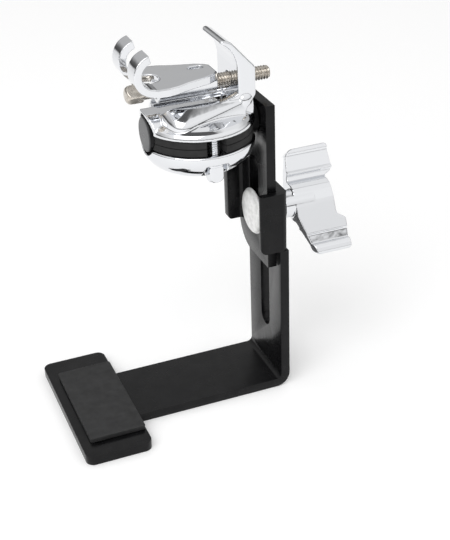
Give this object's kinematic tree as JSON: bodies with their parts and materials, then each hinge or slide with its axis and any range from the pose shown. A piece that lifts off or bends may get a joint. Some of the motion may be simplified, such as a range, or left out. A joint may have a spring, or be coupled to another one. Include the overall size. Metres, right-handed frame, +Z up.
{
  "type": "pedal mounting bracket",
  "caption": "Black slotted steel bracket with a T-shaped rubber-topped foot, a height-adjustable upper bracket clamped by a wing nut, and a chrome hoop claw that tilts on a rod.",
  "frame": {"origin": "centre of the bounding box in X and Y, at the underside of the foot", "axes": "+Z up along the post, +X from the foot towards the wing nut, +Y across the bar"},
  "size_m": [0.145, 0.0828, 0.1792],
  "materials": {
    "black_steel": "satin black powder coat",
    "pad_rubber": "matte black",
    "liner_rubber": "matte black",
    "bolt_zinc": "pale zinc plate",
    "chrome": "bright chrome plate",
    "nickel": "warm grey nickel plate"
  },
  "bodies": {
    "base": {"base_bracket": "black_steel", "foot_pad": "pad_rubber"},
    "height_bolt": {"height_bolt": "bolt_zinc"},
    "washer": {"bolt_washer": "bolt_zinc"},
    "wing_nut": {"wing_nut": "chrome"},
    "upper_bracket": {"upper_bracket": "black_steel", "clamp_rod": "black_steel"},
    "claw": {"fixed_jaw": "chrome", "upper_liner": "liner_rubber", "rod_grub_screw": "bolt_zinc"},
    "lower_shell": {"lower_shell": "chrome", "lower_liner": "liner_rubber"},
    "clamp_bolt_front": {"clamp_bolt_front": "chrome"},
    "clamp_bolt_rear": {"clamp_bolt_rear": "chrome"},
    "moving_jaw": {"moving_jaw": "chrome"},
    "jaw_bolt": {"jaw_bolt": "nickel"}
  },
  "joints": [
    {"name": "bolt_height_slide", "type": "slide", "parent": "base", "child": "height_bolt", "axis": [0, 0, 1], "range_m": [-0.036, 0.004]},
    {"name": "washer_slide", "type": "slide", "parent": "height_bolt", "child": "washer", "axis": [1, 0, 0], "range_m": [0, 0.003]},
    {"name": "wing_nut_turn", "type": "hinge", "parent": "washer", "child": "wing_nut", "pos_m": [0.0505, 0, 0.0899], "axis": [1, 0, 0], "range_deg": [0, 681]},
    {"name": "bracket_height_slide", "type": "slide", "parent": "height_bolt", "child": "upper_bracket", "axis": [0, 0, 1], "range_m": [-0.0205, 0.0025]},
    {"name": "claw_tilt", "type": "hinge", "parent": "upper_bracket", "child": "claw", "pos_m": [0.0027, 0, 0.1384], "axis": [1, 0, 0], "range_deg": [-38, 38]},
    {"name": "lower_shell_slide", "type": "slide", "parent": "claw", "child": "lower_shell", "axis": [0, 0, 1], "range_m": [-0.0015, 0]},
    {"name": "clamp_bolt_front_turn", "type": "hinge", "parent": "lower_shell", "child": "clamp_bolt_front", "pos_m": [0.0025, -0.02, 0.1264], "axis": [0, 0, 1], "range_deg": [-510.5, 0]},
    {"name": "clamp_bolt_rear_turn", "type": "hinge", "parent": "lower_shell", "child": "clamp_bolt_rear", "pos_m": [0.0025, 0.02, 0.1264], "axis": [0, 0, 1], "range_deg": [-510.5, 0]},
    {"name": "moving_jaw_slide", "type": "slide", "parent": "claw", "child": "moving_jaw", "axis": [1, 0, 0], "range_m": [-0.008, 0.006]},
    {"name": "jaw_bolt_turn", "type": "hinge", "parent": "moving_jaw", "child": "jaw_bolt", "pos_m": [-0.02, 0, 0.1576], "axis": [1, 0, 0], "range_deg": [-2268, 1701]}
  ],
  "couplings": [
    {"joint": "wing_nut_turn", "follows": "washer_slide", "rad_per_m": 3957.9},
    {"joint": "clamp_bolt_front_turn", "follows": "lower_shell_slide", "rad_per_m": 5938.7},
    {"joint": "clamp_bolt_rear_turn", "follows": "lower_shell_slide", "rad_per_m": 5938.7},
    {"joint": "jaw_bolt_turn", "follows": "moving_jaw_slide", "rad_per_m": 4947.4}
  ]
}
